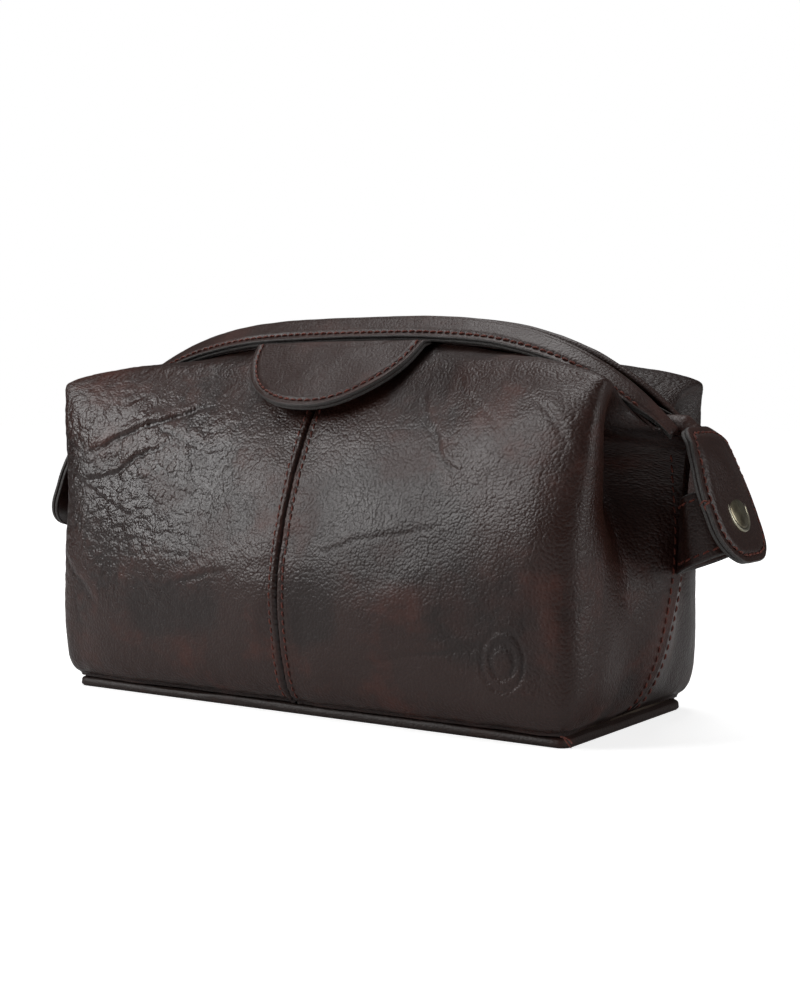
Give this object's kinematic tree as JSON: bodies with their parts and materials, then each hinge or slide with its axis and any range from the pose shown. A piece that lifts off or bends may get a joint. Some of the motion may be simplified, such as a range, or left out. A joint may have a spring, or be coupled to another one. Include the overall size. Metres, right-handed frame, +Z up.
{
  "type": "shaving kit bag",
  "caption": "Soft leather wash bag with a hinged arched mouth, a zip, half-moon pull tabs and press-stud end tabs over strap loops.",
  "frame": {"origin": "middle of the base's underside", "axes": "+X along the mouth, -Y the front, +Z up"},
  "size_m": [0.32, 0.1152, 0.1475],
  "materials": {
    "body_leather": "waxed dark brown hide, soft sheen",
    "edge_leather": "dark hide with grey cut edges",
    "lining_cloth": "twill cloth",
    "zip_tape": "woven tape",
    "antique_brass": "antique brass, brushed",
    "spring_steel": "bright spring steel"
  },
  "bodies": {
    "root": {"base_panel": "body_leather", "base_piping": "body_leather", "base_board": "lining_cloth", "base_lining": "lining_cloth", "front_left_panel": "body_leather", "front_right_panel": "body_leather", "rear_left_panel": "body_leather", "rear_right_panel": "body_leather", "front_shoulder": "body_leather", "rear_shoulder": "body_leather", "front_lining": "lining_cloth", "rear_lining": "lining_cloth", "front_seam_tape": "zip_tape", "rear_seam_tape": "zip_tape", "left_hinge_pin": "spring_steel", "right_hinge_pin": "spring_steel", "left_hinge_block": "spring_steel", "right_hinge_block": "spring_steel", "left_zip_end": "zip_tape", "right_zip_end": "zip_tape", "left_strap_loop": "body_leather", "right_strap_loop": "body_leather", "left_stud": "antique_brass", "right_stud": "antique_brass"},
    "front_frame": {"front_sleeve": "body_leather", "front_bow": "spring_steel", "front_zip_tape": "zip_tape", "front_zip_teeth": "antique_brass"},
    "rear_frame": {"rear_sleeve": "body_leather", "rear_bow": "spring_steel", "rear_zip_tape": "zip_tape", "rear_zip_teeth": "antique_brass"},
    "front_tab_fold": {"front_pull_tab_root": "body_leather"},
    "rear_tab_fold": {"rear_pull_tab_root": "body_leather"},
    "front_pull_tab": {"front_pull_tab_outer": "body_leather", "front_pull_tab_inner": "edge_leather"},
    "rear_pull_tab": {"rear_pull_tab_outer": "body_leather", "rear_pull_tab_inner": "edge_leather"},
    "slider": {"zip_slider": "antique_brass"},
    "pull": {"zip_pull": "antique_brass"},
    "left_tab": {"left_tab_outer": "body_leather", "left_tab_inner": "edge_leather", "left_tab_cap": "antique_brass", "left_tab_socket": "antique_brass"},
    "right_tab": {"right_tab_outer": "body_leather", "right_tab_inner": "edge_leather", "right_tab_cap": "antique_brass", "right_tab_socket": "antique_brass"}
  },
  "joints": [
    {"name": "front_frame_swing", "type": "hinge", "parent": "root", "child": "front_frame", "pos_m": [0, 0, 0.106], "axis": [1, 0, 0], "range_deg": [0, 60], "deforming": ["front_shoulder"]},
    {"name": "rear_frame_swing", "type": "hinge", "parent": "root", "child": "rear_frame", "pos_m": [0, 0, 0.106], "axis": [-1, 0, 0], "range_deg": [0, 60], "deforming": ["rear_shoulder"]},
    {"name": "front_tab_fold_turn", "type": "hinge", "parent": "front_frame", "child": "front_tab_fold", "pos_m": [0, -0.0148, 0.13921], "axis": [-1, 0, 0], "range_deg": [0, 60]},
    {"name": "rear_tab_fold_turn", "type": "hinge", "parent": "rear_frame", "child": "rear_tab_fold", "pos_m": [0, 0.0148, 0.13921], "axis": [1, 0, 0], "range_deg": [0, 60]},
    {"name": "front_pull_tab_lift", "type": "hinge", "parent": "front_tab_fold", "child": "front_pull_tab", "pos_m": [0, -0.01782, 0.13872], "axis": [-1, 0, 0], "range_deg": [0, 100]},
    {"name": "rear_pull_tab_lift", "type": "hinge", "parent": "rear_tab_fold", "child": "rear_pull_tab", "pos_m": [0, 0.01782, 0.13872], "axis": [1, 0, 0], "range_deg": [0, 100]},
    {"name": "slider_travel", "type": "hinge", "parent": "root", "child": "slider", "pos_m": [0, 0, -0.13402], "axis": [0, 1, 0], "range_deg": [0, 48], "deforming": ["front_zip_teeth", "rear_zip_teeth"]},
    {"name": "pull_swing", "type": "hinge", "parent": "slider", "child": "pull", "pos_m": [-0.12168, 0, 0.11674], "axis": [0, -1, 0], "range_deg": [0, 140]},
    {"name": "left_tab_lift", "type": "hinge", "parent": "root", "child": "left_tab", "pos_m": [-0.13978, 0, 0.10516], "axis": [0, 1, 0], "range_deg": [0, 110]},
    {"name": "right_tab_lift", "type": "hinge", "parent": "root", "child": "right_tab", "pos_m": [0.13978, 0, 0.10516], "axis": [0, -1, 0], "range_deg": [0, 110]}
  ],
  "couplings": [
    {"joint": "front_tab_fold_turn", "follows": "front_frame_swing", "ratio": 1},
    {"joint": "rear_tab_fold_turn", "follows": "rear_frame_swing", "ratio": 1}
  ]
}
